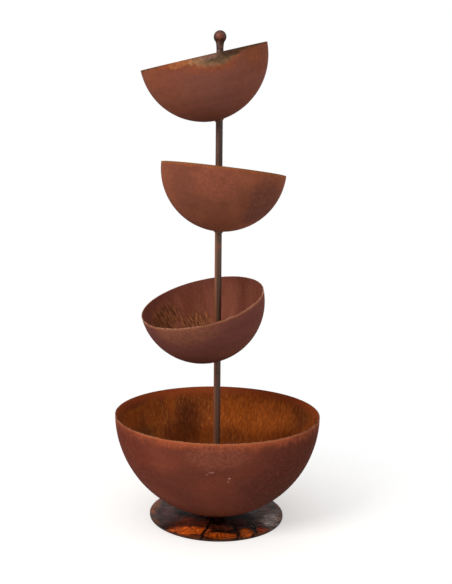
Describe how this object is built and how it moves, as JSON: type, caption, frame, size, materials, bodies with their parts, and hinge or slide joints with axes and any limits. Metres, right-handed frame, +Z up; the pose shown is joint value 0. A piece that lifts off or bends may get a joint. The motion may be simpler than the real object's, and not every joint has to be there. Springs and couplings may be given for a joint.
{
  "type": "tiered water fountain",
  "caption": "Cascading garden water feature: leaning half-sphere bowls turn on a central riser that stands in a half-sphere basin with a small pump, on a round foot plate.",
  "frame": {"origin": "centre of the foot plate's underside, on the riser's axis", "axes": "+Z up along the riser, +X to the right and -Y towards the viewer of the front"},
  "size_m": [0.42, 0.42, 0.9816],
  "materials": {
    "rusted_steel": "matte",
    "wet_plate": "gloss",
    "riser_steel": "matte",
    "weld_metal": "matte",
    "rubber": "matte",
    "pump_plastic": "satin",
    "potting_resin": "satin",
    "brass": "satin",
    "stainless": "satin",
    "ferrite": "matte",
    "ceramic": "gloss",
    "hose_vinyl": "gloss"
  },
  "bodies": {
    "root": {"foot_plate": "wet_plate", "base_bolt": "stainless", "spacer_ring": "wet_plate", "lower_gasket": "rubber", "basin": "rusted_steel", "upper_gasket": "rubber", "clamp_washer": "stainless", "riser_socket": "riser_steel", "socket_seal": "rubber", "inlet_barb": "brass", "hose": "hose_vinyl", "hose_clip_pump": "stainless", "hose_clip_riser": "stainless", "pump_housing": "pump_plastic", "motor_block": "potting_resin", "volute_cover": "pump_plastic", "strainer_cover": "pump_plastic", "rotor_shaft": "ceramic", "shaft_bush_front": "rubber", "shaft_bush_rear": "rubber", "cable_gland": "rubber", "pump_foot_1": "rubber", "pump_foot_2": "rubber", "pump_foot_3": "rubber", "pump_foot_4": "rubber"},
    "rotor": {"rotor_magnet": "ferrite", "impeller": "pump_plastic"},
    "regulator": {"flow_dial": "pump_plastic"},
    "lower_tier": {"lower_riser": "riser_steel", "lower_bowl": "rusted_steel", "lower_weld_below": "weld_metal", "lower_weld_inside": "weld_metal"},
    "middle_tier": {"middle_riser": "riser_steel", "middle_bowl": "rusted_steel", "middle_weld_below": "weld_metal", "middle_weld_inside": "weld_metal", "middle_coupler": "stainless", "middle_washer": "rubber"},
    "upper_tier": {"upper_riser": "riser_steel", "upper_bowl": "rusted_steel", "upper_weld_below": "weld_metal", "upper_weld_inside": "weld_metal", "upper_coupler": "stainless", "upper_washer": "rubber", "finial_washer": "rubber", "ball_finial": "riser_steel"}
  },
  "joints": [
    {"name": "lower_tier_turn", "type": "hinge", "parent": "root", "child": "lower_tier", "pos_m": [0, 0, 0.1138], "axis": [0, 0, 1], "continuous": true},
    {"name": "middle_tier_turn", "type": "hinge", "parent": "lower_tier", "child": "middle_tier", "pos_m": [0, 0, 0.3928], "axis": [0, 0, 1], "continuous": true},
    {"name": "upper_tier_turn", "type": "hinge", "parent": "middle_tier", "child": "upper_tier", "pos_m": [0, 0, 0.6488], "axis": [0, 0, 1], "continuous": true},
    {"name": "impeller_spin", "type": "hinge", "parent": "root", "child": "rotor", "pos_m": [0.05405, -0.03785, 0.04891], "axis": [0.5736, 0.8192, 0], "continuous": true},
    {"name": "flow_dial_turn", "type": "hinge", "parent": "root", "child": "regulator", "pos_m": [0.07011, -0.01491, 0.04891], "axis": [0.5736, 0.8192, 0], "range_deg": [0, 90]}
  ]
}
